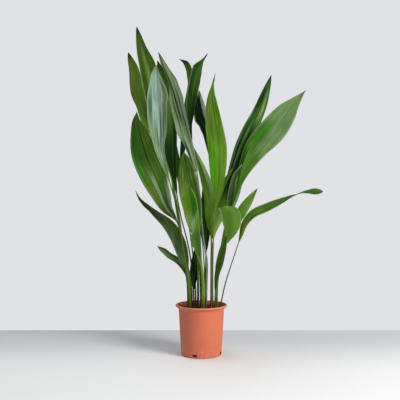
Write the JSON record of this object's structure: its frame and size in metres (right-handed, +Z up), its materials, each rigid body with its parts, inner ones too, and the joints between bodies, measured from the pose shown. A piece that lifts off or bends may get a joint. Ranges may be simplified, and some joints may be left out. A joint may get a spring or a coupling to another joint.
{
  "type": "potted cast iron plant",
  "caption": "Tall evergreen foliage plant in a round flared nursery pot: long arching lance-shaped leaves, each on its own stem out of dark soil.",
  "frame": {"origin": "middle of the pot's flat underside", "axes": "+Z up, -Y towards the front of the picture, +X to its right"},
  "size_m": [0.6856, 0.4092, 1.2263],
  "materials": {
    "pot_plastic": "satin",
    "soil": "matte",
    "leaf_dark_green": "satin",
    "leaf_shaded_green": "satin",
    "leaf_mid_green": "satin",
    "leaf_olive": "satin",
    "leaf_grey_green": "satin",
    "leaf_light_green": "satin",
    "leaf_bright_green": "satin"
  },
  "bodies": {
    "root": {"pot": "pot_plastic", "soil": "soil", "leaf_left_tallest": "leaf_mid_green", "leaf_left_outer": "leaf_olive", "leaf_left_front": "leaf_grey_green", "leaf_left_shaded": "leaf_dark_green", "leaf_left_broad": "leaf_bright_green", "leaf_left_striped": "leaf_grey_green", "leaf_middle_hooked_left": "leaf_dark_green", "leaf_middle_hooked_right": "leaf_shaded_green", "leaf_middle_dark": "leaf_dark_green", "leaf_middle_bright": "leaf_bright_green", "leaf_right_tall": "leaf_shaded_green", "leaf_right_broad": "leaf_light_green", "leaf_right_slim": "leaf_grey_green", "leaf_right_short": "leaf_mid_green", "leaf_front_arched": "leaf_bright_green", "leaf_right_long": "leaf_mid_green", "leaf_front_olive": "leaf_olive", "leaf_front_young": "leaf_bright_green", "leaf_middle_slender": "leaf_mid_green", "leaf_right_inner": "leaf_shaded_green", "leaf_left_low": "leaf_mid_green", "leaf_left_lowest": "leaf_shaded_green", "leaf_front_folded": "leaf_shaded_green", "leaf_back_young": "leaf_dark_green", "leaf_back_inner": "leaf_dark_green", "leaf_back_left": "leaf_shaded_green", "leaf_back_middle": "leaf_mid_green", "leaf_back_right": "leaf_mid_green"}
  },
  "joints": []
}
